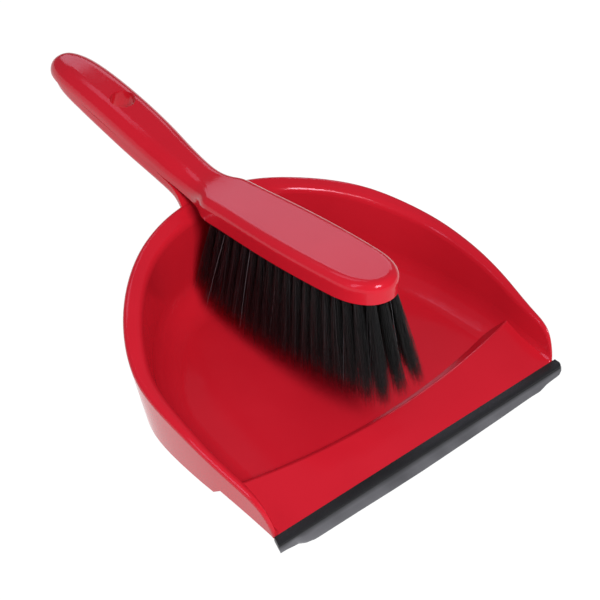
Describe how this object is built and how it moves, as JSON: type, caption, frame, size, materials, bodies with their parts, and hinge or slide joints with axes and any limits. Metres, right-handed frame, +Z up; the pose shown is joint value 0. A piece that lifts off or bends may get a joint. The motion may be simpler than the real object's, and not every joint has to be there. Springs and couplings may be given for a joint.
{
  "type": "dustpan and brush",
  "caption": "Wide red plastic dustpan with a raised double-skinned rim, ramp and rubber lip, and a black-bristled hand brush resting over its handle.",
  "frame": {"origin": "on the ground on the centre plane, on the pan's base face, 95 mm behind the red lip edge (about the middle of the tray)", "axes": "+Z up, -Y towards the lip (the front), +Y towards the handles, +X to the right seen from behind the lip looking along +Y"},
  "size_m": [0.2238, 0.3366, 0.101],
  "materials": {
    "red_plastic": "glossy moulded polypropylene",
    "red_plastic_brush": "glossy moulded polypropylene",
    "lip_rubber": "satin extruded rubber",
    "black_bristle": "soft black synthetic filament",
    "anchor_wire": "flat steel wire"
  },
  "bodies": {
    "pan": {"dustpan_body": "red_plastic", "rubber_lip": "lip_rubber"},
    "brush": {"brush_stock": "red_plastic_brush", "tuft_row_01": "black_bristle", "tuft_row_02": "black_bristle", "tuft_row_03": "black_bristle", "tuft_row_04": "black_bristle", "tuft_row_05": "black_bristle", "tuft_row_06": "black_bristle", "tuft_row_07": "black_bristle", "tuft_row_08": "black_bristle", "tuft_row_09": "black_bristle", "tuft_row_10": "black_bristle", "tuft_row_11": "black_bristle", "tuft_row_12": "black_bristle", "tuft_row_13": "black_bristle", "tuft_row_14": "black_bristle", "tuft_row_15": "black_bristle", "tuft_row_16": "black_bristle", "tuft_row_17": "black_bristle", "tuft_row_18": "black_bristle", "staple_row_01": "anchor_wire", "staple_row_02": "anchor_wire", "staple_row_03": "anchor_wire", "staple_row_04": "anchor_wire", "staple_row_05": "anchor_wire", "staple_row_06": "anchor_wire", "staple_row_07": "anchor_wire", "staple_row_08": "anchor_wire", "staple_row_09": "anchor_wire", "staple_row_10": "anchor_wire", "staple_row_11": "anchor_wire", "staple_row_12": "anchor_wire", "staple_row_13": "anchor_wire", "staple_row_14": "anchor_wire", "staple_row_15": "anchor_wire", "staple_row_16": "anchor_wire", "staple_row_17": "anchor_wire", "staple_row_18": "anchor_wire"}
  },
  "joints": [
    {"name": "brush_lift", "type": "slide", "parent": "pan", "child": "brush", "axis": [0, 0, 1], "range_m": [0, 0.14]}
  ]
}
